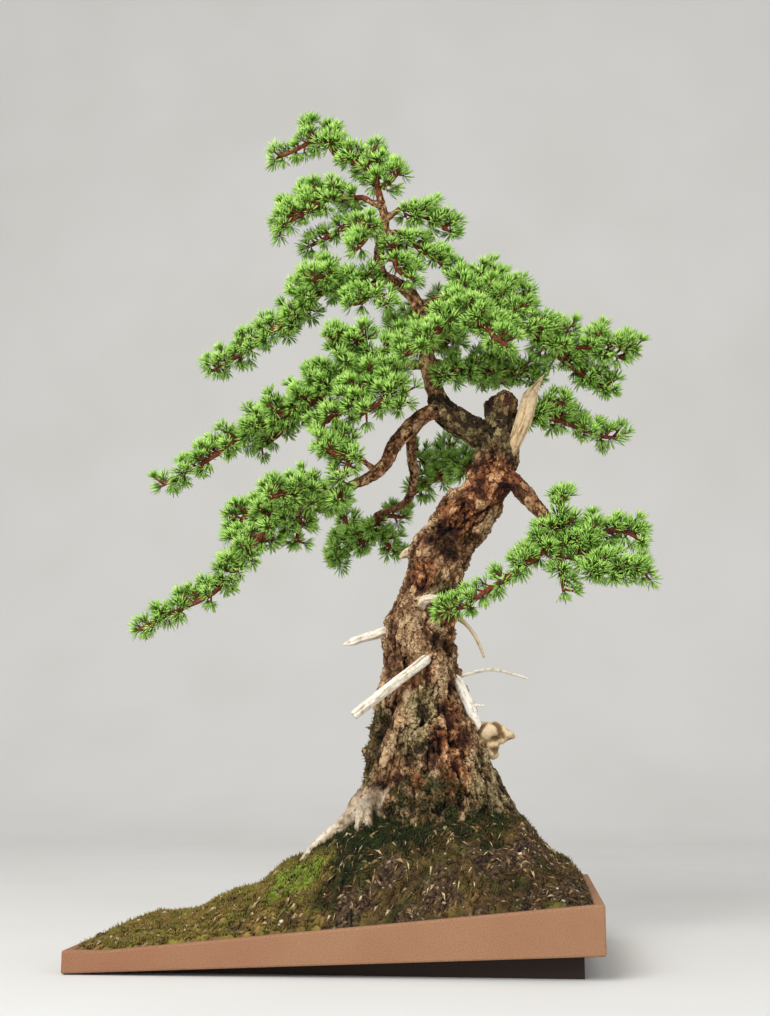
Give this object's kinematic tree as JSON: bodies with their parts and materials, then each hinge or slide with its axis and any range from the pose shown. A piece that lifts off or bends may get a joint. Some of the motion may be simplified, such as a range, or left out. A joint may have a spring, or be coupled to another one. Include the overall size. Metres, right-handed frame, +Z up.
{
  "type": "bonsai tree",
  "caption": "Upright larch bonsai with a leaning, flared trunk, bleached dead stubs and needle sprays, on a soil mound in a sloping rectangular tray.",
  "frame": {"origin": "on the floor, under the middle of the bounding box", "axes": "+Z up; +X to the right and +Y away from the viewer, seen from the tree's front, with the tray's long side along X"},
  "size_m": [0.5546, 0.3, 0.8729],
  "materials": {
    "stoneware": "matte",
    "screen": "matte",
    "soil": "matte",
    "bark": "matte",
    "needles": "satin"
  },
  "bodies": {
    "root": {"tray": "stoneware", "drain_screen_1": "screen", "drain_screen_2": "screen", "soil": "soil", "tree": "bark", "spray_apex": "needles", "spray_back": "needles", "spray_back_left": "needles", "spray_crown_back": "needles", "spray_crown_low": "needles", "spray_crown_middle": "needles", "spray_crown_top": "needles", "spray_first_left": "needles", "spray_inner": "needles", "spray_right_high": "needles", "spray_right_low": "needles", "spray_second_left": "needles", "spray_third_left": "needles", "spray_upper_left": "needles", "spray_upper_left_low": "needles", "spray_upper_right": "needles", "spray_upper_right_low": "needles"}
  },
  "joints": []
}
